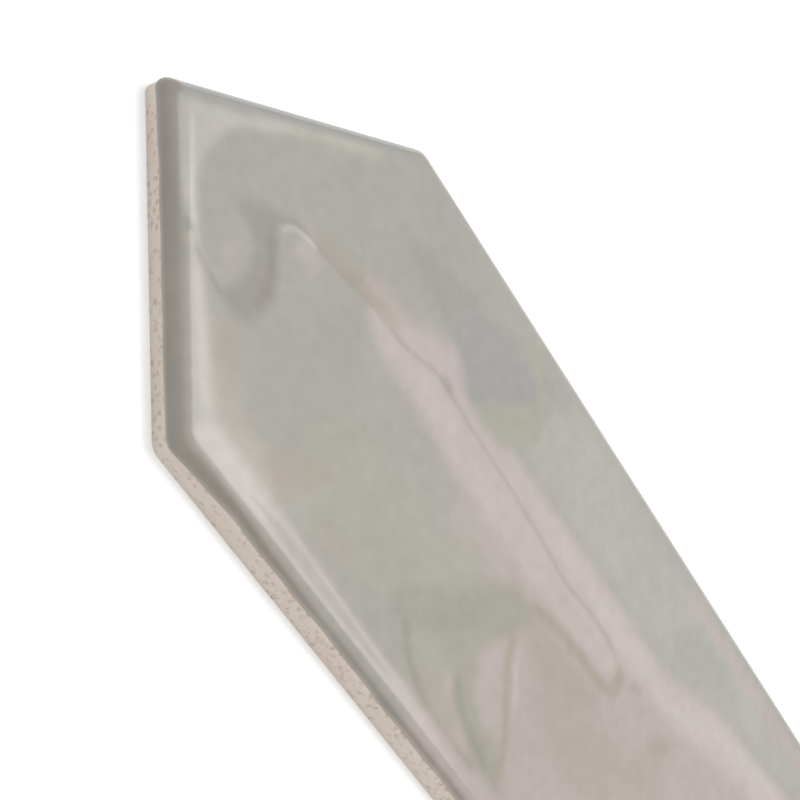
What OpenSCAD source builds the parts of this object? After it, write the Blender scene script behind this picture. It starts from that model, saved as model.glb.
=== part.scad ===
// Picket wall tile: an elongated hexagon with two pointed ends, pressed and fired in one piece.
// It has a softly rippled face, a rounded rim and a keyed back.
// It lies on its back with +X along its length and +Z up, and the origin is at the middle of
// the back. Sizes are in millimetres and angles in degrees.

/* [Tile] */
// Length from tip to tip
tile_length = 300; // [200:5:400]
// Width across the two long edges
tile_width = 75; // [60:1:100]
// Thickness from the back to the mean level of the face
tile_thickness = 6; // [5.5:0.5:12]
// Angle between the two edges that meet at a tip
tip_angle = 90; // [80:5:120]

/* [Edges] */
// Radius of the two tips, in plan
tip_radius = 2; // [1:0.5:6]
// Radius of the four side corners, in plan
corner_radius = 3; // [1:0.5:8]
// Width of the rounded rim, in plan
rim_run = 3.5; // [1:0.25:5]
// Drop of the rounded rim, down to the straight side
rim_drop = 2; // [1:0.1:3]
// Width of the soft shoulder that leads from the face into the rim, in plan from the edge
shoulder_run = 7.5; // [5:0.5:12]
// How far the soft shoulder would fall by the edge
shoulder_drop = 1; // [0:0.1:1.2]
// Chamfer round the back
back_break = 0.3; // [0.2:0.1:0.8]

/* [Face] */
// Height of the long swell, above and below the mean face
swell_height = 0.25; // [0:0.05:0.5]
// Distance between two crests of the long swell
swell_length = 130; // [80:5:250]
// Height of the short ripple, above and below the swell
ripple_height = 0.12; // [0:0.02:0.3]
// Distance between two crests of the short ripple
ripple_length = 52; // [35:1:90]
// Width of the margin in which the waves die away towards the rim
wave_fade = 14; // [6:1:25]

/* [Back] */
// Side of each square keying pocket
key_side = 8.5; // [5:0.5:14]
// Width of the land between two pockets
key_land = 2.5; // [1.5:0.5:5]
// Depth of the pockets
key_depth = 0.6; // [0.3:0.1:1.5]
// Plain border between the pockets and the edge
key_border = 5.5; // [4:0.5:12]

/* [Hidden] */

// Number of steps along the straight middle, a sloping edge and the stub before a side corner
middle_steps = 24;
slope_steps = 7;
stub_steps = 2;
// Number of steps round a tip, round a side corner, over the rim and across half the face
tip_steps = 6;
corner_steps = 4;
rim_steps = 6;
face_steps = 6;
// How much the rings of the face draw together towards the rim
face_crowding = 1.6;
// Directions of the crests, turned from the width, and where the waves start
swell_turn = 24;
swell_start = 70;
ripple_turn = -38;
ripple_start = 205;
// How far a cutting tool reaches past the face it cuts
cut_over = 1;

half_width = tile_width / 2;
slope = tip_angle / 2;
// Where the two sloping edges would meet without the rounding of the tip
apex_x = tile_length / 2 + tip_radius * (1 / sin(slope) - 1);
// Where a long edge and a sloping edge would meet
corner_x = apex_x - half_width / tan(slope);
// End of the spine: it lies half a width away from all the edges round it
spine_end = apex_x - half_width / sin(slope);
// Centres of the rounded corners
tip_centre_x = apex_x - tip_radius / sin(slope);
corner_centre = [corner_x - corner_radius * tan(slope / 2), half_width - corner_radius];

function arc(centre, radius, from, to, steps) =
    [for (i = [0:steps]) let (a = from + (to - from) * i / steps)
        centre + radius * [cos(a), sin(a)]];
function between(p, q, steps) = [for (i = [1:steps - 1]) p + (q - p) * i / steps];
function mirrored(points) =
    [for (i = [len(points) - 1:-1:0]) [points[i].x, -points[i].y]];

// Upper half of the right end, from the tip back to the end of the spine
tip_arc = arc([tip_centre_x, 0], tip_radius, 0, 90 - slope, tip_steps / 2);
corner_arc = arc(corner_centre, corner_radius, 90 - slope, 90, corner_steps);
stub_end = [spine_end, half_width];
upper_end = concat(
    tip_arc,
    between(tip_arc[len(tip_arc) - 1], corner_arc[0], slope_steps),
    corner_arc,
    between(corner_arc[corner_steps], stub_end, stub_steps),
    [stub_end]);
// The whole right end, anticlockwise, with the tip's own point once
right_end = concat(
    [for (p = mirrored(upper_end)) if (p.y != 0) p],
    upper_end);
// Each outline point with the number of the spine point that it leads to
half_outline = concat(
    [for (p = right_end) [p, 0]],
    [for (i = [1:middle_steps - 1])
        [[spine_end * (1 - 2 * i / middle_steps), half_width], i]]);
outline = concat(
    half_outline,
    [for (h = half_outline) [-h[0], middle_steps - h[1]]]);
count = len(outline);
spine = [for (i = [0:middle_steps]) [spine_end * (1 - 2 * i / middle_steps), 0]];

// Height of the two waves at a point of the face
function wave(p, height, length, turn, start) =
    height * sin(360 * (p.x * cos(turn) + p.y * sin(turn)) / length + start);
function fade(inset) = let (s = min(1, inset / wave_fade)) s * s * (3 - 2 * s);
function shoulder(inset) = shoulder_drop * pow(max(0, 1 - inset / shoulder_run), 3);
function face_z(p, inset) = tile_thickness - shoulder(inset) + fade(inset) * (
    wave(p, swell_height, swell_length, swell_turn, swell_start)
    + wave(p, ripple_height, ripple_length, ripple_turn, ripple_start));

// A closed line of points at one distance inside the outline, as plan points
function inset_ring(inset) = let (share = inset / half_width)
    [for (o = outline) o[0] + (spine[o[1]] - o[0]) * share];
function flat_ring(inset, z) = [for (p = inset_ring(inset)) [p.x, p.y, z]];
function face_ring(inset, drop) =
    [for (p = inset_ring(inset)) [p.x, p.y, face_z(p, inset) - drop]];

// From the back, up the side, over the rim and in to the spine
rings = concat(
    [flat_ring(back_break, 0), flat_ring(0, back_break)],
    [for (i = [0:rim_steps]) let (a = 90 * i / rim_steps)
        face_ring(rim_run * (1 - cos(a)), rim_drop * (1 - sin(a)))],
    [for (i = [1:face_steps - 1])
        face_ring(rim_run + (half_width - rim_run) * pow(i / face_steps, face_crowding), 0)]);
back_spine = [for (p = spine) [p.x, p.y, 0]];
face_spine = [for (p = spine) [p.x, p.y, face_z(p, half_width)]];

// Numbers of the corners of one band of triangles between two lines of points
function band(low, high) = [
    for (i = [0:count - 1]) let (j = (i + 1) % count)
        each [
            if (high[i] != high[j]) [low[i], high[i], high[j]],
            if (low[i] != low[j]) [low[i], high[j], low[j]]]];
function ring_numbers(k) = [for (i = [0:count - 1]) k * count + i];
function spine_numbers(first) = [for (o = outline) first + o[1]];

// The pressed body with its face and a plain back
module blank() {
    back_first = len(rings) * count;
    face_first = back_first + len(spine);
    lines = concat(
        [spine_numbers(back_first)],
        [for (k = [0:len(rings) - 1]) ring_numbers(k)],
        [spine_numbers(face_first)]);
    // At a spine, the triangles that would have no width are left out
    polyhedron(
        points = concat([for (r = rings) each r], back_spine, face_spine),
        faces = [for (k = [0:len(lines) - 2]) each band(lines[k], lines[k + 1])]);
}

// Is a square of this half side, centred on a point, inside the border of the back?
function fits(p, half_side) =
    half_width - abs(p.y) - half_side >= key_border
    && (apex_x - abs(p.x) - half_side) * sin(slope)
        - (abs(p.y) + half_side) * cos(slope) >= key_border;

// Shallow square pockets that key the tile to its adhesive, with a land on each centre line
module keying() {
    pitch = key_side + key_land;
    columns = ceil(tile_length / 2 / pitch);
    rows = ceil(half_width / pitch);
    for (i = [-columns:columns - 1], j = [-rows:rows - 1]) {
        p = [(i + 0.5) * pitch, (j + 0.5) * pitch];
        if (fits(p, key_side / 2))
            translate([p.x - key_side / 2, p.y - key_side / 2, -cut_over])
                cube([key_side, key_side, key_depth + cut_over]);
    }
}

module tile() {
    color([0.70, 0.68, 0.65]) difference() {
        blank();
        keying();
    }
}

tile();
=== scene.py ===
"""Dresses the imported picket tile: a softly rippled glossy glaze over a pressed, matt biscuit.

The tile is one fired piece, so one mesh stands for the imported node. Its plan, rim and back
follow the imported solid, and this script adds what is finer: the flow of the glaze, its lip on
the side, the pits of the biscuit and every finish. Sizes are in millimetres until a mesh is
made, and places on the face are measured from the tip nearest to the camera.
"""

import logging
import math
from dataclasses import dataclass, field
from enum import Enum

import bmesh
import bpy
import numpy as np
from mathutils import Matrix, Vector


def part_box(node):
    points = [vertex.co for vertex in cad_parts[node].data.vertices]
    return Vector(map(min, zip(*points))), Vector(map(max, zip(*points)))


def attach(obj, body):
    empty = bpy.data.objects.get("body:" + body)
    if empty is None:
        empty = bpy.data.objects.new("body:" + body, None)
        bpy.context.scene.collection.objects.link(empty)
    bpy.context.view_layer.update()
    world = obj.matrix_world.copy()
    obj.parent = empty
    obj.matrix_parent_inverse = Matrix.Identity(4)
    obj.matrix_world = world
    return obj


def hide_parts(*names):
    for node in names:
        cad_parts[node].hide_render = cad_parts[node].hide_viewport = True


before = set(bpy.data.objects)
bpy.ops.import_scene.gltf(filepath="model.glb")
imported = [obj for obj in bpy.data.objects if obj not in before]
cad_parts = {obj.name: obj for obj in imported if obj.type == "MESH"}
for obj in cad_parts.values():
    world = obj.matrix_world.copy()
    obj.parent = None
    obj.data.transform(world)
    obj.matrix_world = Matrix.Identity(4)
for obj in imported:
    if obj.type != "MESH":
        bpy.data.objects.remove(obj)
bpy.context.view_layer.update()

LOG = logging.getLogger("picket_tile")
MM = 0.001
BODY = "root"
NODE = "tile"


def linear(hex_colour: str) -> tuple[float, float, float, float]:
    """Turns an sRGB hex colour into linear RGBA.

    Args:
        hex_colour: A colour such as "#A8A49B".

    Returns:
        Linear red, green, blue and an alpha of 1.
    """
    values = [int(hex_colour[i:i + 2], 16) / 255 for i in (1, 3, 5)]
    turned = [v / 12.92 if v <= 0.04045 else ((v + 0.055) / 1.055) ** 2.4 for v in values]
    return (turned[0], turned[1], turned[2], 1.0)


def add_node(
    tree: bpy.types.NodeTree,
    kind: str,
    inputs: dict[int | str, object] | None = None,
    **settings: object,
) -> bpy.types.Node:
    """Adds a node with its settings, and links or sets its inputs.

    Args:
        tree: The tree that gets the node.
        kind: The node's type name.
        inputs: For each socket, by number or name, another socket to link or a value to set.
        **settings: Properties of the node itself.

    Returns:
        The new node.
    """
    node = tree.nodes.new(kind)
    for name, value in settings.items():
        setattr(node, name, value)
    for key, value in (inputs or {}).items():
        if isinstance(value, bpy.types.NodeSocket):
            tree.links.new(value, node.inputs[key])
        else:
            node.inputs[key].default_value = value
    return node


def smooth_step(values: np.ndarray) -> np.ndarray:
    """Eases values from 0 to 1, clamped at both ends."""
    clamped = np.clip(values, 0.0, 1.0)
    return clamped * clamped * (3 - 2 * clamped)


def smooth_path(
    points: tuple[tuple[float, float], ...],
    steps: int,
    closed: bool = False,
) -> np.ndarray:
    """Runs a smooth curve through a few points.

    Args:
        points: The points, in order.
        steps: Number of short lines between two neighbouring points.
        closed: Whether the curve comes back to its first point.

    Returns:
        The curve as an array of points.
    """
    hand = np.array(points, dtype=float)
    if closed:
        hand = np.vstack([hand, hand[:1]])
        padded = np.vstack([hand[-2], hand, hand[1]])
    else:
        padded = np.vstack([2 * hand[0] - hand[1], hand, 2 * hand[-1] - hand[-2]])
    t = np.linspace(0, 1, steps, endpoint=False)[:, None]
    runs = []
    for a, b, c, d in zip(padded, padded[1:], padded[2:], padded[3:]):
        runs.append(0.5 * (2 * b + (c - a) * t + (2 * a - 5 * b + 4 * c - d) * t ** 2
                           + (3 * b - a - 3 * c + d) * t ** 3))
    return np.vstack(runs + [hand[-1:]])


class Tint(Enum):
    """Colours of the one glaze, thick, thin or over a crease, which also carry painted light: the palest
    are partly painted highlights, SHADE and the rim's dark tint are painted shade.
    """

    FIELD = "#B5B1A9"
    PALE = "#BDBAB2"
    BLUSH = "#C4B7B2"
    PALE_ROSE = "#CAC4BF"
    ROSE = "#CBC0BB"
    CREAM = "#CFCABF"
    BRIGHT = "#DED7D2"
    OLIVE = "#B6B2A4"
    POOL = "#AFABA0"
    MOSS = "#A29E8F"
    SLATE = "#AEABA7"
    SHADE = "#A0A4A4"
    DEEP = "#AAA79F"
    NECK = "#A59F99"
    CREASE = "#958C84"
    SAND = "#B5A99C"
    # Painted shade: the dark band that the glaze shows over the rim.
    PAINTED_RIM_SHADE = "#93867A"
    THIN = "#CDC1B2"


@dataclass(frozen=True)
class TileSizes:
    """Sizes of the fired tile in millimetres, with angles in degrees."""

    length: float
    width: float
    face_level: float = 6.0
    tip_angle: float = 90.0
    tip_radius: float = 2.0
    corner_radius: float = 3.0
    rim_run: float = 3.5
    rim_drop: float = 2.0
    shoulder_run: float = 7.5
    shoulder_drop: float = 1.0
    back_break: float = 0.3
    glaze_build: float = 0.1
    wave_fade: float = 14.0

    @classmethod
    def from_frame(cls) -> "TileSizes":
        """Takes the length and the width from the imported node."""
        low, high = (Vector(corner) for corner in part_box(NODE))
        return cls(length=(high.x - low.x) / MM, width=(high.y - low.y) / MM)

    @property
    def half_width(self) -> float:
        """Half of the width."""
        return self.width / 2

    @property
    def side_top(self) -> float:
        """Height at which the straight side turns into the rim."""
        return self.face_level - self.rim_drop - self.shoulder_drop

    def shoulder(self, inset: np.ndarray) -> np.ndarray:
        """Gives how far the face falls away towards the rim at a distance from the edge."""
        share = np.clip(1 - inset / self.shoulder_run, 0.0, 1.0)
        return self.shoulder_drop * share ** 3

    @property
    def slope(self) -> float:
        """Angle between a sloping edge and the length, in radians."""
        return math.radians(self.tip_angle / 2)

    @property
    def apex_x(self) -> float:
        """Where two sloping edges would meet without the tip's rounding."""
        return self.length / 2 + self.tip_radius * (1 / math.sin(self.slope) - 1)

    @property
    def corner_x(self) -> float:
        """Where a long edge and a sloping edge would meet."""
        return self.apex_x - self.half_width / math.tan(self.slope)

    @property
    def spine_end(self) -> float:
        """End of the spine, half a width away from all the edges round it."""
        return self.apex_x - self.half_width / math.sin(self.slope)


@dataclass(frozen=True)
class MeshSteps:
    """Spacing of the mesh, in millimetres, and its number of steps round and over the edges."""

    along: float = 0.75
    across: float = 0.52
    tip: int = 8
    corner: int = 6
    rim: int = 18
    biscuit: int = 4
    lip: int = 5


class Plan:
    """Plan of the tile: the points of its edge, and the spine point that each one leads to."""

    def __init__(self, sizes: TileSizes, steps: MeshSteps) -> None:
        """Lays out the edge points.

        Args:
            sizes: Sizes of the tile.
            steps: Spacing of the points.
        """
        self.sizes = sizes
        upper = self._upper_end(steps)
        lower = (upper * (1, -1))[::-1][:-1]
        end = np.vstack([lower, upper])
        count = round(2 * sizes.spine_end / steps.along)
        along = sizes.spine_end * (1 - 2 * np.arange(1, count) / count)
        side = np.column_stack([along, np.full(count - 1, sizes.half_width)])
        half = np.vstack([end, side])
        half_spine = np.vstack([np.tile([sizes.spine_end, 0.0], (len(end), 1)),
                                np.column_stack([along, np.zeros(count - 1)])])
        self.edge = np.vstack([half, -half])
        self.spine = np.vstack([half_spine, -half_spine])
        runs = np.linalg.norm(np.diff(self.edge, axis=0, append=self.edge[:1]), axis=1)
        self.run = np.concatenate([[0.0], np.cumsum(runs)[:-1]])
        self.perimeter = float(runs.sum())

    def _upper_end(self, steps: MeshSteps) -> np.ndarray:
        """Lays out the upper half of the right end, from the tip to the end of the spine."""
        s = self.sizes
        tip = self._arc((s.apex_x - s.tip_radius / math.sin(s.slope), 0.0), s.tip_radius,
                        0.0, math.pi / 2 - s.slope, steps.tip)
        centre = (s.corner_x - s.corner_radius * math.tan(s.slope / 2),
                  s.half_width - s.corner_radius)
        corner = self._arc(centre, s.corner_radius, math.pi / 2 - s.slope, math.pi / 2,
                           steps.corner)
        stub_end = np.array([s.spine_end, s.half_width])
        return np.vstack([tip, self._line(tip[-1], corner[0], steps.along), corner,
                          self._line(corner[-1], stub_end, steps.along), stub_end])

    @staticmethod
    def _arc(centre: tuple[float, float], radius: float, start: float, end: float,
             steps: int) -> np.ndarray:
        """Lays points round an arc, both ends included."""
        angles = np.linspace(start, end, steps + 1)
        return np.array(centre) + radius * np.column_stack([np.cos(angles), np.sin(angles)])

    @staticmethod
    def _line(start: np.ndarray, end: np.ndarray, spacing: float) -> np.ndarray:
        """Lays points between two ends, without the ends."""
        count = max(2, round(float(np.linalg.norm(end - start)) / spacing))
        share = np.arange(1, count)[:, None] / count
        return start + (end - start) * share

    def inset(self, distance: float | np.ndarray) -> np.ndarray:
        """Moves the edge points inwards by a distance, all along the straight edges."""
        share = np.atleast_1d(distance)[:, None] / self.sizes.half_width
        return self.edge + (self.spine - self.edge) * share


@dataclass(frozen=True)
class Run:
    """One run of the glaze along a smooth path, in millimetres from the near tip.

    A run tints the glaze and raises or lowers it. Left and right are its reach on either side
    of the path, taper is the share of its length in which it fades in and out, and a high
    edge power makes its sides crisp.
    """

    name: str
    path: tuple[tuple[float, float], ...]
    left: float
    right: float
    tint: Tint
    strength: float
    relief: float = 0.0
    taper: float = 0.2
    power: float = 2.0
    mirrored: bool = True

    def weight(self, places: np.ndarray) -> np.ndarray:
        """Gives the run's weight, from 0 to 1, at each place on the face."""
        line = smooth_path(self.path, 6)
        reach = 3 * max(self.left, self.right)
        low, high = line.min(axis=0) - reach, line.max(axis=0) + reach
        near = np.where(((places > low) & (places < high)).all(axis=1))[0]
        result = np.zeros(len(places))
        if not len(near):
            return result
        start, step = line[:-1], np.diff(line, axis=0)
        lengths = np.linalg.norm(step, axis=1)
        before = np.concatenate([[0.0], np.cumsum(lengths)[:-1]])
        offset = places[near][:, None, :] - start[None]
        share = np.clip((offset * step).sum(axis=2) / lengths ** 2, 0.0, 1.0)
        gap = offset - share[:, :, None] * step
        nearest = (gap ** 2).sum(axis=2).argmin(axis=1)
        rows = np.arange(len(near))
        distance = np.linalg.norm(gap[rows, nearest], axis=1)
        cross = (step[nearest, 0] * offset[rows, nearest, 1]
                 - step[nearest, 1] * offset[rows, nearest, 0])
        width = np.where(cross > 0, self.left, self.right)
        travelled = (before[nearest] + share[rows, nearest] * lengths[nearest]) / lengths.sum()
        fade = smooth_step(travelled / self.taper) * smooth_step((1 - travelled) / self.taper)
        result[near] = np.exp(-(distance / width) ** self.power) * fade
        return result


@dataclass(frozen=True)
class Pool:
    """One pool of the glaze inside a smooth closed shore, in millimetres from the near tip.

    Soft is the width over which the pool thins out at its shore.
    """

    name: str
    shore: tuple[tuple[float, float], ...]
    tint: Tint
    strength: float
    soft: float = 3.0
    relief: float = 0.0
    mirrored: bool = True

    def weight(self, places: np.ndarray) -> np.ndarray:
        """Gives the pool's weight, from 0 to 1, at each place on the face."""
        line = smooth_path(self.shore, 5, closed=True)
        low, high = line.min(axis=0) - self.soft, line.max(axis=0) + self.soft
        near = np.where(((places > low) & (places < high)).all(axis=1))[0]
        result = np.zeros(len(places))
        start, step = line[:-1], np.diff(line, axis=0)
        offset = places[near][:, None, :] - start[None]
        share = np.clip((offset * step).sum(axis=2) / (step ** 2).sum(axis=1), 0.0, 1.0)
        distance = np.linalg.norm(offset - share[:, :, None] * step, axis=2).min(axis=1)
        crosses = (offset[:, :, 1] >= 0) != (offset[:, :, 1] - step[None, :, 1] >= 0)
        with np.errstate(divide="ignore", invalid="ignore"):
            meets = step[:, 0] * offset[:, :, 1] / step[:, 1]
        inside = (crosses & (offset[:, :, 0] < meets)).sum(axis=1) % 2 == 1
        signed = np.where(inside, distance, -distance)
        result[near] = smooth_step(0.5 + signed / self.soft)
        return result


# The tints below are partly the glaze's own tones and partly painted reflections and shading of the
# studio in the face's waves and folds.
GLAZE_MARKS: tuple[Run | Pool, ...] = (
    Pool("far_field", ((87, 17), (100, 17), (125, 16), (146, 18), (168, 23), (192, 27), (190, 31),
                       (150, 31), (120, 33.5), (95, 33.5), (86, 27)), Tint.PALE, 0.85, soft=6,
         mirrored=False),
    Pool("far_slate", ((138, 18), (150, 19.5), (162, 23), (160, 28), (150, 28.5), (140, 26)),
         Tint.SLATE, 0.45, soft=6, mirrored=False),
    Run("far_edge_blush", ((134, 29.5), (144, 31.5), (160, 31), (176, 31.5), (192, 32)), 2, 2,
        Tint.BLUSH, 0.8, taper=0.1, mirrored=False),
    Pool("slate_heel", ((37, -12), (44, -10.5), (50, -13), (53, -19), (50, -25), (44, -26.5),
                        (39, -22), (36, -17)), Tint.SLATE, 0.3, soft=4),
    Pool("olive_field", ((55, -12), (60, -9.5), (66, -12), (72, -8.5), (79, -11), (81, -18),
                         (77, -26), (68, -27), (60, -28), (54, -25), (51.5, -19)), Tint.OLIVE, 0.75,
         soft=2.5),
    Pool("grey_field_dip", ((47, -1), (52, -3), (56, -7), (52, -11), (45, -9), (43, -4)),
         Tint.SLATE, 0.3, soft=4, relief=-0.02),
    Run("sand_toe", ((29.5, -17.6), (33.6, -21.5), (37.5, -26.4), (44, -28.4), (52, -28.6), (58, -28)),
        2.8, 2.8, Tint.SAND, 0.62, taper=0.12, power=2.5),
    Pool("sand_patch", ((49, -28), (51, -23.5), (56, -20), (60, -20.5), (58, -24), (56, -28)),
         Tint.SAND, 0.4, soft=2),
    Pool("sand_patch_far", ((61, -28), (63, -25), (67, -24.5), (70, -27), (67, -29)), Tint.SAND,
         0.35, soft=2),
    Pool("deep_hollow", ((46, 20.5), (50, 24), (56, 25), (60, 27), (66, 26), (70, 21), (73, 15),
                         (70, 13.5), (64, 17), (55, 17.5), (48, 18.5)), Tint.DEEP, 0.8, soft=5,
         relief=-0.04),
    Pool("slate_wedge", ((60, 23), (66, 26), (71, 29), (77, 28.5), (83, 25.6), (81.6, 23), (78, 19.6),
                         (74.5, 15.5), (72, 12.6), (68, 15), (64, 19)), Tint.SLATE, 0.85, soft=2.4,
         relief=0.05),
    Pool("olive_tail", ((72, 12.3), (76, 11.2), (80.5, 11.8), (84.5, 15), (87.4, 19), (87, 24),
                        (84, 28.6), (79, 31.4), (73, 32), (78, 29.8), (83.4, 26.4), (82.8, 23.2),
                        (79, 19), (75, 14.6)), Tint.OLIVE, 0.9, soft=1.8, relief=-0.02),
    Pool("rose_ground", ((43, 8), (47, 11), (54, 11.5), (61, 15), (66, 15.5), (72, 11.5), (80, 11.6),
                         (86, 13.8), (100, 14.2), (120, 14.4), (138, 14.2), (148, 17), (160, 20),
                         (178, 22), (205, 26), (208, 14), (200, 2), (203, -10), (192, -22), (184, -38),
                         (120, -38), (98, -38), (96, -28), (97, -18), (96, -8), (88, -3), (76, 0),
                         (60, 2), (50, 4)), Tint.BLUSH, 0.95, soft=5, mirrored=False),
    Run("pink_fleck", ((91, 33), (92.4, 29), (96, 25)), 1.6, 1.6, Tint.BLUSH, 0.35, taper=0.3),
    Run("pink_fleck_low", ((94, 21), (93.4, 18), (93, 15)), 1.4, 1.4, Tint.BLUSH, 0.4, taper=0.3),
    Run("under_rose", ((79, -2.4), (84, -4.4), (90, -5)), 3, 3, Tint.BLUSH, 0.4, taper=0.3),
    # Rose band: partly the glaze's pink and partly a painted reflection of the overhead softbox in the
    # swell.
    Pool("rose_band", ((46.4, 7.4), (50, 9.8), (55, 10.6), (61, 14.4), (65.5, 15), (71, 11.6), (80, 11.6),
                       (86, 13.6), (100, 14), (120, 14.2), (138, 14), (148, 16.6), (160, 19.6),
                       (178, 21.8), (205, 26), (205, 19), (172, 13.6), (158, 10.4), (148, 8),
                       (138, 7), (131, 6), (126.5, 2.4), (118, 1.2), (104, 0.6), (86, 1), (72, 1.6),
                       (61, 2), (54, 2), (49, 4)), Tint.ROSE, 0.8, soft=3.4, relief=0.03,
         mirrored=False),
    Run("rose_ridge", ((92, 11.4), (110, 10.9), (130, 10.4), (147, 11.4), (158, 15.8), (171, 18.4),
                       (192, 21.4)), 2.2, 2.4, Tint.BRIGHT, 0.25, taper=0.15, mirrored=False),
    Run("rose_pillow", ((55, 4.4), (62, 5.4), (70, 5.2), (77, 4.4)), 2.0, 2.4, Tint.BRIGHT, 0.15,
        taper=0.3),
    Pool("green_wave", ((104, -2), (99, -2.6), (95, -6.2), (91, -9.8), (87, -14.2), (83, -18.8),
                        (79.4, -22.5), (82, -25.5), (86, -27.2), (87.2, -24.6), (89.4, -22.8),
                        (93, -22.4), (97, -24), (101, -27), (106, -29.4), (111, -31.3), (117.2, -31.2),
                        (115.8, -28), (112.2, -25.6), (107, -24.4), (103, -21.6), (101, -18),
                        (101, -14.6), (103.2, -11), (104.6, -8), (106.8, -5)), Tint.POOL, 0.95,
         soft=3.4, relief=-0.06),
    Run("wave_lee", ((93, -5.4), (87, -10), (82.6, -15.6), (79, -20.6)), 2.4, 3.6, Tint.OLIVE, 0.6,
        taper=0.25),
    Run("green_core", ((98.5, -8), (94.5, -14), (91.5, -18), (86, -21.5)), 2.6, 3, Tint.MOSS, 0.4,
        taper=0.3),
    Run("green_foot", ((97.5, -21.4), (100.4, -25), (104.4, -27.4), (109, -28.8), (114, -30)), 1, 1.2,
        Tint.MOSS, 0.7, relief=-0.02, taper=0.2),
    Pool("lens", ((87.4, -25.6), (89.6, -23.6), (94.5, -23.6), (98.6, -26.8), (103.6, -30.2),
                  (97, -30.6), (91, -28.8)), Tint.OLIVE, 0.6, soft=2),
    Run("lens_sand", ((89, -27.6), (93, -29.2), (98, -30), (104, -30.6)), 1.8, 1.2, Tint.SAND, 0.5),
    Run("loop_line", ((83.2, -22.6), (86.2, -26.4), (89.8, -29.2), (95, -31), (103, -31.9), (113, -32.1)),
        1.0, 0.8, Tint.MOSS, 0.65, relief=-0.03, taper=0.12),
    Run("fold_line", ((105, -7.4), (104.7, -10.4), (106.5, -14.4), (109.5, -18.5), (112.5, -22.6),
                      (114.9, -26.6), (116.9, -30.6)), 1.0, 1.0, Tint.SAND, 0.9, relief=-0.03,
        taper=0.12),
    # Painted highlight: a thin bright line beside the fold line.
    Run("fold_painted_highlight", ((106.3, -9), (107.6, -12.4), (110.6, -16.4), (113.6, -20.4)), 0.7, 0.5,
        Tint.BRIGHT, 0.3, taper=0.35),
    # Crease line: a slight groove, its dark tint partly a painted reflection of a thin dark line in the
    # studio.
    Run("crease_line", ((27, 1.6), (30.4, 3.3), (35, 4), (41, 5), (48, 6.3), (55, 7), (59, 8), (63, 9.4),
                        (66, 9.6), (70, 9.3), (78, 9), (86, 8.8), (93, 8.5), (100, 8), (106, 7.2),
                        (111, 7), (116, 7.6), (121, 7.5), (125, 6.8), (128, 5.4)), 0.5, 0.55,
        Tint.CREASE, 0.28, relief=-0.02, taper=0.03),
    Run("crease_sand", ((30, 4), (35, 5.2), (41, 6.1), (48, 7.2), (56, 8.6)), 1.9, 0.8, Tint.SAND, 0.7,
        taper=0.2),
    Run("crease_knot", ((64, 10.2), (66.4, 10), (69, 9.9)), 1, 0.8, Tint.NECK, 0.6, taper=0.4),
    Run("crease_turn", ((127, 5.8), (129.2, 4.6), (130.2, 2.8), (129, 0.8), (125.4, -0.3), (119, -0.1),
                        (113, -0.6), (108, -1.4), (103.6, -3)), 1.3, 1.2, Tint.SAND, 0.95,
        relief=-0.04, taper=0.08, power=3),
    Run("crease_bulb", ((128.8, 4.2), (129.8, 2.6)), 1.7, 1.7, Tint.SAND, 0.6, taper=0.05),
    Pool("sand_shelf", ((106.4, -3.6), (110, -2.2), (118, -1.6), (126, -1.9), (127, -5), (122, -7.6),
                        (114, -9), (108, -8), (105.6, -6)), Tint.SAND, 0.5, soft=5),
    Pool("sand_ground", ((112, -7), (124, -5), (136, -6), (146, 2), (152, -4), (144, -14), (132, -19),
                         (122, -18), (114, -13)), Tint.SAND, 0.4, soft=8),
    Run("smudge", ((132.4, 5.4), (136.8, 6.6)), 1.2, 1.2, Tint.CREASE, 0.25, taper=0.3),
    Run("sand_spot", ((146.6, 7), (147.5, 4.5), (145.6, 2), (144.4, -2)), 2, 2, Tint.SAND, 0.6,
        taper=0.3),
    # Painted reflection: the pale zone round the tip, given to the glaze's tint.
    Pool("tip_painted_reflection", ((3.4, -1.8), (6, 1), (10, 4.8), (14, 8.8), (18.4, 13), (16.4, 9), (13.4, 5.2),
                       (12, 1.5), (12.2, -3.5), (14.4, -8), (18, -11.4), (16.6, -12.8), (12, -9.6),
                       (7.6, -5.6)), Tint.PALE_ROSE, 1.0, soft=2.2, relief=0.04),
    # Painted highlight: a lamp's streak along the upper sloping edge; the run after it paints shade at
    # the edge itself.
    Run("edge_painted_highlight", ((12, 6.7), (17, 11.7), (22, 16.7), (28, 22.7), (33.6, 28.4)), 1.1, 1.3,
        Tint.CREAM, 0.55, relief=0.03, taper=0.15),
    Run("edge_shade", ((2.1, 1.5), (14.3, 13.7), (24.3, 23.7), (35, 34.4)), 2, 1.8, Tint.SHADE, 0.8,
        taper=0.06),
    Run("curl_hollow", ((19.5, -3.6), (22.5, -3.2), (25, -2.2)), 2.2, 2.2, Tint.DEEP, 0.5,
        taper=0.3),
    Pool("curl_neck", ((24, 0.4), (27, 2), (30, 3.4), (28.4, 1.6), (27.9, -0.6), (29.5, -2.8),
                       (32, -5.6), (34, -9), (34.5, -12.5), (33.7, -15.8), (30.5, -17), (27.3, -16),
                       (28.3, -13.5), (28.6, -10.5), (27, -7), (24, -4.8), (21.6, -4), (22.6, -1.2)),
         Tint.NECK, 0.85, soft=2.8, relief=-0.06),
    Run("curl_core", ((26.4, -0.8), (29.6, -4.4), (31.9, -7.8), (32.8, -11), (32.4, -13.6)), 1.2, 0.9,
        Tint.CREASE, 0.4, taper=0.25),
    Run("curl_light", ((23.4, -7.4), (24.8, -10.4), (23.8, -12.6)), 3, 3, Tint.BLUSH, 0.22),
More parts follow.
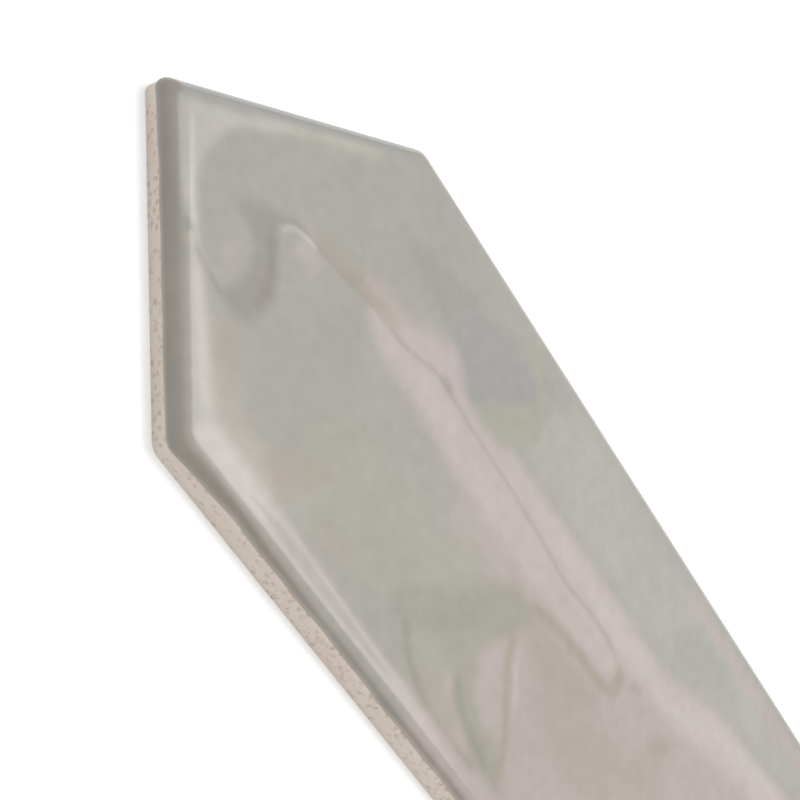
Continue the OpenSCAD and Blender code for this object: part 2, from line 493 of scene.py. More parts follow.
    Run("curl_line", ((28.6, -16.4), (25, -15.8), (21.4, -14.8), (18.4, -13.7), (16, -12.4)), 0.5, 0.5,
        Tint.NECK, 0.75, relief=-0.02, taper=0.12),
    Run("pinch_spot", ((18.4, -13.6), (20.4, -14.9)), 0.8, 0.8, Tint.THIN, 0.6, taper=0.2),
    Run("tongue", ((30.6, 0.6), (33.6, 0.9), (37.6, 0.4)), 2, 2, Tint.ROSE, 0.5, taper=0.2),
    Run("tongue_light", ((27.9, -1.2), (28.2, 0.4), (29.4, 2), (31.6, 3), (35, 3.5)), 0.4, 0.5,
        Tint.BRIGHT, 0.5, relief=0.03, taper=0.2),
    # Painted highlight along the lower sloping edge, over the softbox's own reflection there.
    Run("heel_painted_highlight", ((20.7, -14.8), (27.4, -21), (33.4, -26.8), (38.9, -31.5)), 1.5, 1.1, Tint.ROSE,
        0.75, taper=0.12),
    # Painted highlight along the near long edge, brightest by its corner, with a thin darker line drawn
    # inside it.
    Pool("long_edge_painted_highlight", ((38, -30.4), (45, -30), (55, -30.4), (70, -31), (85, -31.6), (120, -32.4),
                          (150, -32.6), (150, -34.5), (100, -34.5), (60, -34.5), (39.5, -34.2)),
         Tint.BLUSH, 0.75, soft=1.4),
    Pool("corner_painted_highlight", ((38, -33.2), (40, -31), (50, -31.4), (58, -33.2), (50, -34.6), (40, -34.4)),
         Tint.BRIGHT, 0.3, soft=1.6),
    Pool("toe_line", ((51, -32.9), (56, -32.2), (63, -31.9), (72, -32.3), (82, -32.9), (87, -33.4),
                      (80, -33.9), (70, -34), (60, -33.7)), Tint.CREASE, 0.42, soft=0.9, relief=-0.03),
)


class GlazeFlow:
    """How the one glaze has run over the face: its tint, partly painted reflection and shade, and its
    relief at each place.
    """

    def __init__(self, sizes: TileSizes, marks: tuple[Run | Pool, ...] = GLAZE_MARKS) -> None:
        """Keeps the marks of the near half, of which most come again on the far half."""
        self.sizes = sizes
        self.marks = marks
        self.turn_x = 188.0
        self.turn_width = 8.0

    def lay(self, plan_points: np.ndarray, inset: np.ndarray) -> tuple[np.ndarray, np.ndarray]:
        """Works out the glaze's colour and relief.

        Args:
            plan_points: Places on the face, in millimetres from the middle of the tile.
            inset: Distance of each place from the edge.

        Returns:
            Linear colours, one row each, and relief in millimetres.
        """
        near = plan_points + (self.sizes.apex_x, 0.0)
        far = self.sizes.apex_x * np.array([1.0, 0.0]) - plan_points
        in_far_half = smooth_step((near[:, 0] - self.turn_x) / self.turn_width)
        colour = np.tile(np.array(linear(Tint.FIELD.value)[:3]), (len(near), 1))
        relief = np.full(len(near), -0.02)
        for mark in self.marks:
            weight = mark.weight(near)
            if mark.mirrored:
                weight = np.maximum(weight, mark.weight(far) * in_far_half)
            tint = np.array(linear(mark.tint.value)[:3])
            colour += (tint - colour) * (weight * mark.strength)[:, None]
            relief += mark.relief * weight
        return colour, relief * smooth_step((inset - 1.0) / 3.0)


@dataclass(frozen=True)
class Wave:
    """One long wave of the face: height and crest spacing in millimetres, angles in degrees."""

    height: float
    length: float
    turn: float
    start: float


@dataclass(frozen=True)
class BackKeys:
    """Square pockets pressed into the back, in millimetres."""

    side: float = 8.5
    land: float = 2.5
    depth: float = 0.6
    border: float = 5.5
    draft: float = 0.35
    over: float = 0.5

    @property
    def pitch(self) -> float:
        """Distance between two neighbouring pockets."""
        return self.side + self.land


@dataclass(frozen=True)
class Pits:
    """Pinholes in the bare side of the biscuit, in millimetres."""

    per_cm2: float = 10.0
    radius: float = 0.2
    clear: float = 0.45
    seed: int = 7


class GeometryTree:
    """A Geometry Nodes tree with named inputs, run on a mesh and then taken off again."""

    def __init__(self, name: str) -> None:
        """Starts an empty tree with a geometry input and output."""
        self.tree = bpy.data.node_groups.new(name, "GeometryNodeTree")
        self.tree.interface.new_socket("Geometry", in_out="OUTPUT", socket_type="NodeSocketGeometry")
        self.tree.interface.new_socket("Geometry", in_out="INPUT", socket_type="NodeSocketGeometry")
        self.values: dict[str, object] = {}
        self.group_in = self.tree.nodes.new("NodeGroupInput")

    def value(self, name: str, amount: float | int, whole: bool = False) -> bpy.types.NodeSocket:
        """Adds a named input with its value and returns its socket."""
        kind = "NodeSocketInt" if whole else "NodeSocketFloat"
        socket = self.tree.interface.new_socket(name, in_out="INPUT", socket_type=kind)
        self.values[socket.identifier] = amount
        return self.group_in.outputs[name]

    def node(self, kind: str, inputs: dict[int | str, object] | None = None,
             **settings: object) -> bpy.types.Node:
        """Adds a node to the tree."""
        return add_node(self.tree, kind, inputs, **settings)

    def maths(self, operation: str, *values: object) -> bpy.types.NodeSocket:
        """Adds a maths node and returns its result."""
        node = self.node("ShaderNodeMath", dict(enumerate(values)), operation=operation)
        return node.outputs[0]

    def finish(self, geometry: bpy.types.NodeSocket, material: bpy.types.Material,
               where: bpy.types.NodeSocket | bool = True) -> None:
        """Ends the tree in Realize Instances and Set Material.

        Args:
            geometry: What the tree has made.
            material: Its finish.
            where: The faces that get the finish.
        """
        real = self.node("GeometryNodeRealizeInstances", {0: geometry})
        dressed = self.node("GeometryNodeSetMaterial",
                            {"Geometry": real.outputs[0], "Selection": where,
                             "Material": material})
        self.node("NodeGroupOutput", {0: dressed.outputs[0]})

    def run(self, piece: bpy.types.Object) -> bpy.types.Mesh:
        """Runs the tree on a piece and returns the result as a plain mesh."""
        modifier = piece.modifiers.new(self.tree.name, "NODES")
        modifier.node_group = self.tree
        for identifier, amount in self.values.items():
            modifier[identifier] = amount
        graph = bpy.context.evaluated_depsgraph_get()
        mesh = bpy.data.meshes.new_from_object(piece.evaluated_get(graph))
        piece.modifiers.remove(modifier)
        return mesh


@dataclass(frozen=True)
class BiscuitFinish:
    """Bisque-fired pressed earthenware: matt and chalky, cream, with brown grains and pits."""

    clay: str = "#FDF3E6"
    shade: str = "#F5E2D4"
    grain: str = "#C9AE98"
    roughness: float = 0.92
    cloud_mm: float = 7.0
    grain_mm: float = 1.0
    wander_mm: float = 0.8
    chalk_mm: float = 0.35

    def material(self) -> bpy.types.Material:
        """Builds the biscuit's material."""
        mat = bpy.data.materials.new("earthenware_biscuit")
        mat.use_nodes = True
        tree = mat.node_tree
        shader = tree.nodes["Principled BSDF"]
        place = add_node(tree, "ShaderNodeTexCoord").outputs["Object"]
        cloud = add_node(tree, "ShaderNodeTexNoise",
                         {"Vector": place, "Scale": 1 / (self.cloud_mm * MM), "Detail": 3.0})
        clouds = add_node(tree, "ShaderNodeMix",
                          {0: cloud.outputs["Fac"], 6: linear(self.clay), 7: linear(self.shade)},
                          data_type="RGBA")
        wander = add_node(tree, "ShaderNodeTexNoise",
                          {"Vector": place, "Scale": 1 / (self.wander_mm * MM), "Detail": 2.0})
        shifted = add_node(tree, "ShaderNodeVectorMath",
                           {0: wander.outputs["Color"],
                            1: (self.grain_mm * MM,) * 3, 2: place},
                           operation="MULTIPLY_ADD")
        spots = add_node(tree, "ShaderNodeTexVoronoi",
                         {"Vector": shifted.outputs[0], "Scale": 1 / (self.grain_mm * MM)})
        cover = add_node(tree, "ShaderNodeMapRange",
                         {"Value": spots.outputs["Distance"], "From Min": 0.0,
                          "From Max": 0.6, "To Min": 0.8, "To Max": 0.0})
        pick = add_node(tree, "ShaderNodeMath", {0: spots.outputs["Color"], 1: 0.45},
                        operation="GREATER_THAN")
        shown = add_node(tree, "ShaderNodeMath", {0: cover.outputs[0], 1: pick.outputs[0]},
                         operation="MULTIPLY")
        grains = add_node(tree, "ShaderNodeMix",
                          {0: shown.outputs[0], 6: clouds.outputs[2], 7: linear(self.grain)},
                          data_type="RGBA")
        tree.links.new(grains.outputs[2], shader.inputs["Base Color"])
        chalk = add_node(tree, "ShaderNodeTexNoise",
                         {"Vector": place, "Scale": 1 / (self.chalk_mm * MM), "Detail": 4.0})
        bump = add_node(tree, "ShaderNodeBump",
                        {"Height": chalk.outputs["Fac"], "Strength": 0.5, "Distance": 0.1 * MM})
        tree.links.new(bump.outputs[0], shader.inputs["Normal"])
        shader.inputs["Roughness"].default_value = self.roughness
        return mat


@dataclass(frozen=True)
class GlazeFinish:
    """Glossy glaze: a glassy coat that pools, so its grey drifts in tone."""

    roughness: float = 0.14
    ior: float = 1.52
    drift_mm: float = 26.0
    mottle_mm: float = 2.6
    ripple_mm: float = 5.0

    def material(self) -> bpy.types.Material:
        """Builds the glaze's material."""
        mat = bpy.data.materials.new("glossy_grey_glaze")
        mat.use_nodes = True
        tree = mat.node_tree
        shader = tree.nodes["Principled BSDF"]
        place = add_node(tree, "ShaderNodeTexCoord").outputs["Object"]
        flow = add_node(tree, "ShaderNodeAttribute", attribute_name="glaze_tint")
        drift = add_node(tree, "ShaderNodeTexNoise",
                         {"Vector": place, "Scale": 1 / (self.drift_mm * MM), "Detail": 2.0})
        mottle = add_node(tree, "ShaderNodeTexNoise",
                          {"Vector": place, "Scale": 1 / (self.mottle_mm * MM), "Detail": 3.0})
        both = add_node(tree, "ShaderNodeMath",
                        {0: drift.outputs["Fac"], 1: mottle.outputs["Fac"]}, operation="ADD")
        level = add_node(tree, "ShaderNodeMapRange",
                         {"Value": both.outputs[0], "From Min": 0.7, "From Max": 1.3,
                          "To Min": 0.945, "To Max": 1.06})
        toned = add_node(tree, "ShaderNodeVectorMath",
                         {0: flow.outputs["Color"], "Scale": level.outputs[0]},
                         operation="SCALE")
        tree.links.new(toned.outputs[0], shader.inputs["Base Color"])
        skin = add_node(tree, "ShaderNodeTexNoise",
                        {"Vector": place, "Scale": 1 / (self.ripple_mm * MM), "Detail": 1.0})
        bump = add_node(tree, "ShaderNodeBump",
                        {"Height": skin.outputs["Fac"], "Strength": 0.35, "Distance": 0.04 * MM})
        tree.links.new(bump.outputs[0], shader.inputs["Normal"])
        shader.inputs["Roughness"].default_value = self.roughness
        shader.inputs["IOR"].default_value = self.ior
        return mat


@dataclass(frozen=True)
class FloorFinish:
    """Plain pale paper floor, white to the camera, that keeps the tile's soft shadow."""

    paper: str = "#EDEDEC"
    lift: float = 0.4

    def material(self) -> bpy.types.Material:
        """Builds the floor's material."""
        mat = bpy.data.materials.new("pale_floor")
        mat.use_nodes = True
        tree = mat.node_tree
        shader = tree.nodes["Principled BSDF"]
        shader.inputs["Base Color"].default_value = linear(self.paper)
        shader.inputs["Roughness"].default_value = 0.9
        shader.inputs["Specular IOR Level"].default_value = 0.0
        light_path = add_node(tree, "ShaderNodeLightPath")
        seen = add_node(tree, "ShaderNodeMath",
                        {0: light_path.outputs["Is Camera Ray"],
                         1: light_path.outputs["Is Glossy Ray"]}, operation="MAXIMUM")
        through = add_node(tree, "ShaderNodeMath",
                           {0: seen.outputs[0], 1: light_path.outputs["Is Transmission Ray"]},
                           operation="MAXIMUM")
        strength = add_node(tree, "ShaderNodeMath", {0: through.outputs[0], 1: self.lift},
                            operation="MULTIPLY")
        glow = add_node(tree, "ShaderNodeEmission", {"Strength": strength.outputs[0]})
        total = add_node(tree, "ShaderNodeAddShader",
                         {0: shader.outputs[0], 1: glow.outputs[0]})
        tree.links.new(total.outputs[0], tree.nodes["Material Output"].inputs["Surface"])
        return mat


class PicketTile:
    """The fired tile: its meshes and its two finishes."""

    def __init__(self, sizes: TileSizes) -> None:
        """Keeps the sizes and prepares the plan and the finishes."""
        self.sizes = sizes
        self.steps = MeshSteps()
        self.plan = Plan(sizes, self.steps)
        self.flow = GlazeFlow(sizes)
        self.keys = BackKeys()
        self.pits = Pits()
        self.foot = 1.9
        self.line_slope = 3.2
        self.line_long = 4.35
        self.swell = Wave(height=0.25, length=130.0, turn=24.0, start=70.0)
        self.ripple = Wave(height=0.12, length=52.0, turn=-38.0, start=205.0)
        self.biscuit = BiscuitFinish().material()
        self.glaze = GlazeFinish().material()

    def glaze_line(self) -> np.ndarray:
        """Gives the height of the glaze's lower edge at each edge point.

        The glaze ends higher on the long sides than on the sloping ones, lower still towards the
        tip, and it is uneven.
        """
        outward = np.abs(self.plan.edge[:, 0] - self.plan.spine[:, 0]) / self.sizes.half_width
        level = self.line_long + (self.line_slope - self.line_long) * smooth_step(outward / 0.7)
        from_tip = self.sizes.apex_x - np.abs(self.plan.edge[:, 0])
        level = (level - 0.55 * (1 - smooth_step(from_tip / 14.0))
                 - 0.3 * (1 - smooth_step(from_tip / 3.0)))
        run = self.plan.run / self.plan.perimeter
        for waves, height, start in ((7, 0.05, 0.3), (23, 0.05, 1.1), (61, 0.05, 2.0)):
            level = level + height * np.sin(2 * math.pi * waves * run + start)
        return level

    def rim_point(self, turn: np.ndarray) -> tuple[np.ndarray, np.ndarray]:
        """Gives the inset and the height of the rim's section.

        Args:
            turn: Way round the section: under 0 on the straight side, then 0 to 90 degrees over
                the rim, in radians.

        Returns:
            The insets and the heights.
        """
        s = self.sizes
        over = np.maximum(turn, 0.0)
        inset = s.rim_run * (1 - np.cos(over))
        height = s.face_level - s.rim_drop * (1 - np.sin(over)) - s.shoulder(inset)
        return inset, height + np.minimum(turn, 0.0) * s.rim_drop

    def turn_at(self, height: np.ndarray) -> np.ndarray:
        """Finds the way round the rim's section that reaches each height."""
        turns = np.linspace(-1.0, math.pi / 2, 400)
        return np.interp(height, self.rim_point(turns)[1], turns)

    def rows(self) -> list[tuple[np.ndarray, np.ndarray, np.ndarray, bool]]:
        """Lays the rows of points from the top of the foot to the spine.

        Returns:
            For each row its plan points, heights, insets, and whether it is glazed.
        """
        s, steps = self.sizes, self.steps
        count = len(self.plan.edge)
        line = self.glaze_line()
        rows = []

        def row(inset: float | np.ndarray, height: float | np.ndarray, glazed: bool) -> None:
            """Adds one row, with its inset and height spread over all points."""
            insets = np.broadcast_to(np.asarray(inset, dtype=float), (count,))
            heights = np.broadcast_to(np.asarray(height, dtype=float), (count,))
            rows.append((self.plan.inset(insets), heights.copy(), insets.copy(), glazed))

        bare = s.glaze_build
        foot_turn, line_turn = self.turn_at(np.array(self.foot)), self.turn_at(line)
        for i in range(steps.biscuit + 1):
            inset, height = self.rim_point(foot_turn + (line_turn - foot_turn) * i / steps.biscuit)
            row(inset + bare, height, False)
        lip_turn = self.turn_at(line + 1.8 * bare)
        for i in range(1, steps.lip + 1):
            share = math.pi / 2 * i / steps.lip
            turn = line_turn + (lip_turn - line_turn) * (1 - math.cos(share))
            inset, height = self.rim_point(turn)
            row(inset + bare * (1 - math.sin(share)), height, True)
        for i in range(1, steps.rim + 1):
            row(*self.rim_point(lip_turn + (math.pi / 2 - lip_turn) * i / steps.rim), True)
        across = round((s.half_width - s.rim_run) / steps.across)
        for i in range(1, across + 1):
            inset = s.rim_run + (s.half_width - s.rim_run) * i / across
            row(inset, s.face_level - s.shoulder(np.array(inset)), True)
        return rows

    def upper_part(self) -> bpy.types.Object:
        """Builds the tile above its foot, with the glaze's tint and relief on its points."""
        rows = self.rows()
        count = len(self.plan.edge)
        plan_points = np.vstack([r[0] for r in rows])
        heights = np.concatenate([r[1] for r in rows])
        inset = np.concatenate([r[2] for r in rows])
        colour, relief = self.flow.lay(plan_points, inset)
        colour = self.over_rim(colour, plan_points, heights)
        level = np.concatenate([np.full(count, i) for i in range(len(rows))])
        first_face = self.steps.biscuit + self.steps.lip + 2
        relief[level < first_face] = 0.0
        fade = smooth_step(inset / self.sizes.wave_fade) * (level >= first_face)
        ids = np.arange(len(rows) * count).reshape(len(rows), count)
        after = np.roll(ids, -1, axis=1)
        quads = np.stack([ids[:-1], after[:-1], after[1:], ids[1:]], axis=-1).reshape(-1, 4)
        mesh = bpy.data.meshes.new("upper_part")
        places = np.column_stack([plan_points, heights]) * MM
        mesh.from_pydata(places.tolist(), [], quads.tolist())
        mesh.materials.append(self.glaze)
        mesh.materials.append(self.biscuit)
        glazed = np.repeat([not r[3] for r in rows[1:]], count).astype(np.int32)
        mesh.polygons.foreach_set("material_index", glazed)
        mesh.attributes.new("relief", "FLOAT", "POINT").data.foreach_set("value", relief)
        mesh.attributes.new("fade", "FLOAT", "POINT").data.foreach_set("value", fade)
        rgba = np.column_stack([colour, np.ones(len(colour))]).ravel()
        mesh.attributes.new("glaze_tint", "FLOAT_COLOR", "POINT").data.foreach_set("color", rgba)
        piece = bpy.data.objects.new("upper_part", mesh)
        bpy.context.scene.collection.objects.link(piece)
        return piece

    def over_rim(self, colour: np.ndarray, plan_points: np.ndarray,
                 heights: np.ndarray) -> np.ndarray:
        """Paints shade into the glaze over the rim as a dark band, and pales it at its thin lip.

        Args:
            colour: Linear colours of all rows of points.
            plan_points: Plan of the same points.
            heights: Heights of the same points.

        Returns:
            The changed colours.
        """
        line = np.tile(self.glaze_line(), len(heights) // len(self.plan.edge))
        above = heights - line
        long_side = np.clip((line - self.line_slope) / (self.line_long - self.line_slope), 0, 1)
        from_tip = self.sizes.apex_x - np.abs(plan_points[:, 0])
        at_tip = 1 - smooth_step((from_tip - 10) / 9)
        at_corner = long_side * (1 - smooth_step((from_tip - 45) / 25))
        far_side = long_side - at_corner
        low = 5.0 + 0.3 * at_corner - 0.15 * far_side + 0.25 * at_tip
        high = 5.85 - 0.05 * at_corner - 0.35 * far_side - 0.35 * at_tip
        # Painted shade: the rim's dark band, weaker along the upper sloping edge near the tip.
        rim_painted_shade = smooth_step(above / 0.8) * (1 - smooth_step((heights - low) / (high - low)))
        rim_painted_shade *= (0.46 + 0.28 * long_side) * (0.65 + 0.35 * smooth_step((heights - 3.6) / 1.4))
        upper_slope = smooth_step(-plan_points[:, 0] * plan_points[:, 1] / 200) * (1 - long_side)
        rim_painted_shade *= 1 - 0.7 * upper_slope
        thin = 1 - smooth_step(above / 0.45)
        for tint, weight in ((Tint.PAINTED_RIM_SHADE, rim_painted_shade), (Tint.THIN, 0.6 * thin)):
            colour = colour + (np.array(linear(tint.value)[:3]) - colour) * weight[:, None]
        return colour

    def waved(self, piece: bpy.types.Object) -> bpy.types.Mesh:
        """Bends the face into its long waves and the glaze's own relief."""
        tree = GeometryTree("face_waves")
        place = tree.node("ShaderNodeSeparateXYZ",
                          {0: tree.node("GeometryNodeInputPosition").outputs[0]})
        total: object = 0.0
        for name, wave in (("Swell", self.swell), ("Ripple", self.ripple)):
            height = tree.value(f"{name} height", wave.height * MM)
            length = tree.value(f"{name} length", wave.length * MM)
            turn = tree.value(f"{name} turn", math.radians(wave.turn))
            start = tree.value(f"{name} start", math.radians(wave.start))
            along = tree.maths("ADD",
                               tree.maths("MULTIPLY", place.outputs[0], tree.maths("COSINE", turn)),
                               tree.maths("MULTIPLY", place.outputs[1], tree.maths("SINE", turn)))
            cycles = tree.maths("MULTIPLY", tree.maths("DIVIDE", along, length), 2 * math.pi)
            crest = tree.maths("SINE", tree.maths("ADD", cycles, start))
            total = tree.maths("ADD", total, tree.maths("MULTIPLY", crest, height))
        fade = tree.node("GeometryNodeInputNamedAttribute", {"Name": "fade"})
        relief = tree.node("GeometryNodeInputNamedAttribute", {"Name": "relief"})
        lift = tree.maths("ADD", tree.maths("MULTIPLY", total, fade.outputs[0]),
                          tree.maths("MULTIPLY", relief.outputs[0], MM))
        offset = tree.node("ShaderNodeCombineXYZ", {2: lift})
        moved = tree.node("GeometryNodeSetPosition",
                          {"Geometry": tree.group_in.outputs["Geometry"],
                           "Offset": offset.outputs[0]})
        bare = tree.node("GeometryNodeInputMaterialIndex").outputs[0]
        tree.finish(moved.outputs[0], self.biscuit, where=bare)
        return tree.run(piece)

    def foot_part(self) -> bpy.types.Object:
        """Builds the plain foot: a closed slab with a broken back edge."""
        s = self.sizes
        count = len(self.plan.edge)
        levels = ((s.glaze_build + s.back_break, 0.0), (s.glaze_build, s.back_break),
                  (s.glaze_build, self.foot))
        places = np.vstack([np.column_stack([self.plan.inset(inset), np.full(count, height)])
                            for inset, height in levels]) * MM
        ids = np.arange(len(levels) * count).reshape(len(levels), count)
        after = np.roll(ids, -1, axis=1)
        quads = np.stack([ids[:-1], after[:-1], after[1:], ids[1:]], axis=-1).reshape(-1, 4)
        faces = quads.tolist() + [ids[0][::-1].tolist(), ids[-1].tolist()]
        mesh = bpy.data.meshes.new("foot_part")
        mesh.from_pydata(places.tolist(), [], faces)
        piece = bpy.data.objects.new("foot_part", mesh)
        bpy.context.scene.collection.objects.link(piece)
        return piece

    def keyed(self, piece: bpy.types.Object) -> bpy.types.Mesh:
        """Cuts the key pockets into the back of the foot and the pits into its sides."""
        s, keys, pits = self.sizes, self.keys, self.pits
        tree = GeometryTree("keyed_back")
        body = tree.group_in.outputs["Geometry"]
        side = tree.value("Pocket side", keys.side * MM)
        pitch = tree.value("Pocket pitch", keys.pitch * MM)
        depth = tree.value("Pocket depth", keys.depth * MM)
        draft = tree.value("Pocket draft", keys.draft * MM)
        border = tree.value("Border", keys.border * MM)
        columns = 2 * math.ceil(s.length / 2 / keys.pitch)
        rows = 2 * math.ceil(s.half_width / keys.pitch)
        grid = tree.node("GeometryNodeMeshGrid", {
            "Size X": tree.maths("MULTIPLY", pitch, columns - 1.0),
            "Size Y": tree.maths("MULTIPLY", pitch, rows - 1.0),
            "Vertices X": columns, "Vertices Y": rows})
        place = tree.node("ShaderNodeSeparateXYZ",
                          {0: tree.node("GeometryNodeInputPosition").outputs[0]})
        half = tree.maths("MULTIPLY", side, 0.5)
        reach_x = tree.maths("ADD", tree.maths("ABSOLUTE", place.outputs[0]), half)
        reach_y = tree.maths("ADD", tree.maths("ABSOLUTE", place.outputs[1]), half)
        long_gap = tree.maths("SUBTRACT", s.half_width * MM, reach_y)
        slope_gap = tree.maths(
            "SUBTRACT",
            tree.maths("MULTIPLY", tree.maths("SUBTRACT", s.apex_x * MM, reach_x),
                       math.sin(s.slope)),
            tree.maths("MULTIPLY", reach_y, math.cos(s.slope)))
        outside = tree.maths("LESS_THAN", tree.maths("MINIMUM", long_gap, slope_gap), border)
        kept = tree.node("GeometryNodeDeleteGeometry",
                         {"Geometry": grid.outputs["Mesh"], "Selection": outside},
                         domain="POINT")
        corner = math.sqrt(0.5)
        over = keys.over * MM
        punch = tree.node("GeometryNodeMeshCone", {
            "Vertices": 4,
            "Radius Bottom": tree.maths("MULTIPLY", side, corner),
            "Radius Top": tree.maths("MULTIPLY", tree.maths("SUBTRACT", side, draft),
                                     corner),
            "Depth": tree.maths("ADD", depth, over)})
        turned = tree.node("GeometryNodeTransform",
                           {"Geometry": punch.outputs["Mesh"],
                            "Translation": (0.0, 0.0, -over),
                            "Rotation": (0.0, 0.0, math.pi / 4)})
        pockets = tree.node("GeometryNodeInstanceOnPoints",
                            {"Points": kept.outputs[0], "Instance": turned.outputs[0]})
        facing = tree.node("ShaderNodeSeparateXYZ",
                           {0: tree.node("GeometryNodeInputNormal").outputs[0]})
        upright = tree.maths("LESS_THAN", tree.maths("ABSOLUTE", facing.outputs[2]), 0.1)
        seeds = tree.node("GeometryNodeDistributePointsOnFaces",
                          {"Mesh": body, "Selection": upright,
                           "Density": tree.value("Pits per square metre", pits.per_cm2 * 1e4),
                           "Seed": tree.value("Pit seed", pits.seed, whole=True)})
        seed_place = tree.node("ShaderNodeSeparateXYZ",
                               {0: tree.node("GeometryNodeInputPosition").outputs[0]})
        clear = tree.value("Pit clearance", pits.clear * MM)
        too_high = tree.maths("GREATER_THAN", seed_place.outputs[2],
                              tree.maths("SUBTRACT", self.foot * MM, clear))
        open_pits = tree.node("GeometryNodeDeleteGeometry",
                              {"Geometry": seeds.outputs["Points"], "Selection": too_high},
                              domain="POINT")
        size = tree.node("FunctionNodeRandomValue",
                         {0: (0.5, 0.5, 0.3), 1: (1.5, 1.5, 0.9), "Seed": pits.seed + 1},
                         data_type="FLOAT_VECTOR")
        ball = tree.node("GeometryNodeMeshIcoSphere",
                         {"Radius": tree.value("Pit radius", pits.radius * MM),
                          "Subdivisions": 2})
        holes = tree.node("GeometryNodeInstanceOnPoints",
                          {"Points": open_pits.outputs[0], "Instance": ball.outputs["Mesh"],
                           "Scale": size.outputs[0]})
        cutters = tree.node("GeometryNodeRealizeInstances", {0: pockets.outputs[0]})
        drills = tree.node("GeometryNodeRealizeInstances", {0: holes.outputs[0]})
        first = tree.node("GeometryNodeMeshBoolean",
                          {0: body, 1: cutters.outputs[0]},
                          operation="DIFFERENCE", solver="MANIFOLD")
        second = tree.node("GeometryNodeMeshBoolean",
                           {0: first.outputs[0], 1: drills.outputs[0]},
                           operation="DIFFERENCE", solver="MANIFOLD")
        tree.finish(second.outputs[0], self.biscuit)
        return tree.run(piece)

    def build(self) -> bpy.types.Object:
        """Joins the foot and the upper part into the one closed mesh of the tile."""
        upper, foot = self.upper_part(), self.foot_part()
        upper_mesh, foot_mesh = self.waved(upper), self.keyed(foot)
        for rough in (upper, foot):
            bpy.data.objects.remove(rough)
        work = bmesh.new()
        work.from_mesh(foot_mesh)
        top = self.foot * MM
        lids = [f for f in work.faces if all(abs(v.co.z - top) < 1e-7 for v in f.verts)]
        bmesh.ops.delete(work, geom=lids, context="FACES")
        for face in work.faces:
            face.material_index = 1
        work.from_mesh(upper_mesh)
        bmesh.ops.remove_doubles(work, verts=work.verts, dist=2e-6)
        mesh = bpy.data.meshes.new("picket_tile")
        mesh.materials.append(self.glaze)
        mesh.materials.append(self.biscuit)
        for face in work.faces:
            face.smooth = True
        work.to_mesh(mesh)
        open_edges = sum(1 for e in work.edges if len(e.link_faces) != 2)
        work.free()
        mesh.set_sharp_from_angle(angle=math.radians(38))
        piece = bpy.data.objects.new("picket_tile", mesh)
        bpy.context.scene.collection.objects.link(piece)
        triangles = sum(len(p.vertices) - 2 for p in mesh.polygons)
        LOG.info("picket_tile: %d triangles, %d open edges", triangles, open_edges)
        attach(piece, BODY)
        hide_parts(NODE)
        return piece


@dataclass(frozen=True)
class SoftBox:
    """One soft studio lamp: place and aim in metres, size in metres, power in watts.

    A lamp that is not mirrored only fills: the glossy glaze doesn't show it.
    """

    name: str
    place: tuple[float, float, float]
    aim: tuple[float, float, float]
    size: tuple[float, float]
    power: float
    mirrored: bool = True

    def build(self) -> bpy.types.Object:
        """Adds the lamp to the scene."""
        data = bpy.data.lights.new(self.name, "AREA")
        data.shape = "RECTANGLE"
        data.size, data.size_y = self.size
        data.energy = self.power
        lamp = bpy.data.objects.new(self.name, data)
        lamp.visible_glossy = self.mirrored
        direction = Vector(self.aim) - Vector(self.place)
        lamp.matrix_world = (Matrix.Translation(self.place)
                             @ direction.to_track_quat("-Z", "Y").to_matrix().to_4x4())
        bpy.context.scene.collection.objects.link(lamp)
        return lamp


@dataclass(frozen=True)
class Camera:
    """The photograph's view: place in millimetres from the near tip, on the face's level."""

    place: tuple[float, float, float] = (-25.86, -137.06, 154.6)
    forward: tuple[float, float, float] = (0.3880, 0.6107, -0.6903)
    up: tuple[float, float, float] = (-0.7542, 0.6408, 0.1430)
    lens: float = 64.83
    sensor: float = 36.0

    def build(self, sizes: TileSizes) -> bpy.types.Object:
        """Adds the camera and makes it the scene's own."""
        data = bpy.data.cameras.new("photo_camera")
        data.lens = self.lens
        data.sensor_width = self.sensor
        data.clip_start = 0.01
        camera = bpy.data.objects.new("photo_camera", data)
        back = -Vector(self.forward).normalized()
        right = Vector(self.up).cross(back).normalized()
        up = back.cross(right)
        turn = Matrix((right, up, back)).transposed().to_4x4()
        near_tip = Vector((-sizes.apex_x, 0.0, sizes.face_level))
        camera.matrix_world = Matrix.Translation((near_tip + Vector(self.place)) * MM) @ turn
        bpy.context.scene.collection.objects.link(camera)
        bpy.context.scene.camera = camera
        return camera


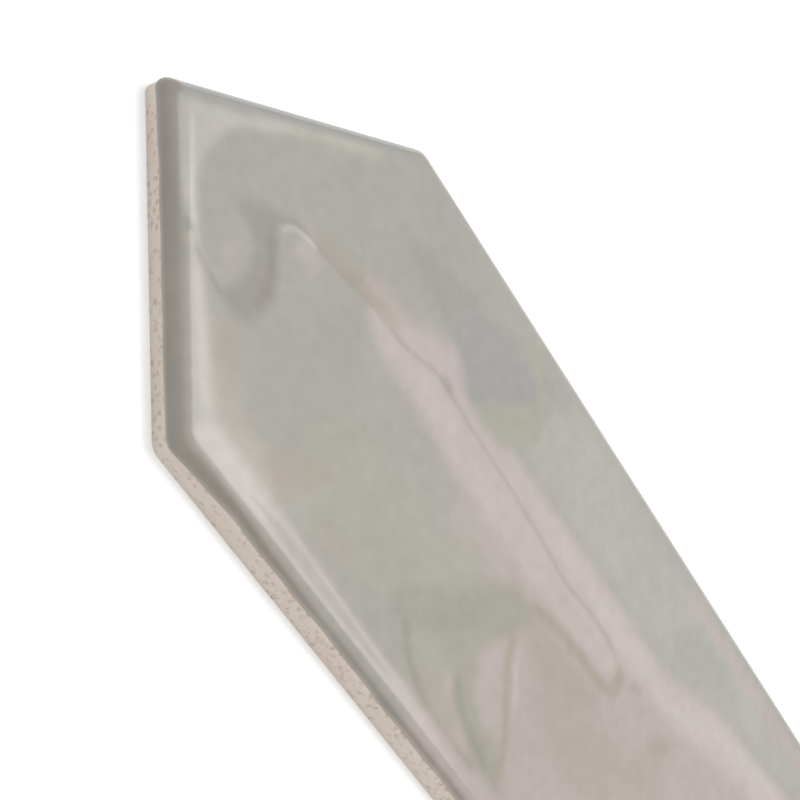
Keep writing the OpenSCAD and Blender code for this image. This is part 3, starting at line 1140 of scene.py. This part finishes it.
@dataclass
class Studio:
    """The plain studio: pale floor, soft lamps, an even sky and the camera."""

    sizes: TileSizes
    sky_level: float = 0.54
    floor_side: float = 6.0
    lamps: tuple[SoftBox, ...] = field(default_factory=lambda: (
        SoftBox("overhead_softbox", (0.28, 0.36, 1.0), (0.28, 0.36, 0.0), (0.84, 0.5), 3.2),
        SoftBox("far_fill", (0.3, 0.6, 1.7), (0.0, 0.0, 0.0), (1.4, 1.0), 10.2, mirrored=False),
    ))

    def build(self) -> None:
        """Builds the floor, the lamps, the sky and the camera."""
        self.floor()
        self.sky()
        for lamp in self.lamps:
            lamp.build()
        Camera().build(self.sizes)

    def floor(self) -> None:
        """Lays the floor under the tile."""
        half = self.floor_side / 2
        mesh = bpy.data.meshes.new("studio_floor")
        mesh.from_pydata([(-half, -half, 0), (half, -half, 0), (half, half, 0), (-half, half, 0)],
                         [], [(0, 1, 2, 3)])
        mesh.materials.append(FloorFinish().material())
        floor = bpy.data.objects.new("studio_floor", mesh)
        bpy.context.scene.collection.objects.link(floor)

    def sky(self) -> None:
        """Sets an even sky, white where the camera sees it."""
        world = bpy.data.worlds.new("studio_sky")
        bpy.context.scene.world = world
        world.use_nodes = True
        tree = world.node_tree
        light_path = add_node(tree, "ShaderNodeLightPath")
        even = tree.nodes["Background"]
        even.inputs["Strength"].default_value = self.sky_level
        even.inputs["Color"].default_value = linear("#F5F6F7")
        white = add_node(tree, "ShaderNodeBackground",
                         {"Color": linear("#FFFFFF"), "Strength": 1.0})
        mixed = add_node(tree, "ShaderNodeMixShader",
                         {0: light_path.outputs["Is Camera Ray"], 1: even.outputs[0],
                          2: white.outputs[0]})
        tree.links.new(mixed.outputs[0], tree.nodes["World Output"].inputs["Surface"])


def main() -> None:
    """Builds the tile and the studio in order."""
    logging.basicConfig(level=logging.INFO, format="%(name)s: %(message)s")
    sizes = TileSizes.from_frame()
    LOG.info("tile is %.1f mm long and %.1f mm wide", sizes.length, sizes.width)
    tile = PicketTile(sizes).build()
    LOG.info("built %s", tile.name)
    Studio(sizes).build()
    bpy.context.scene.view_settings.view_transform = "Standard"


if __name__ == "__main__":
    main()
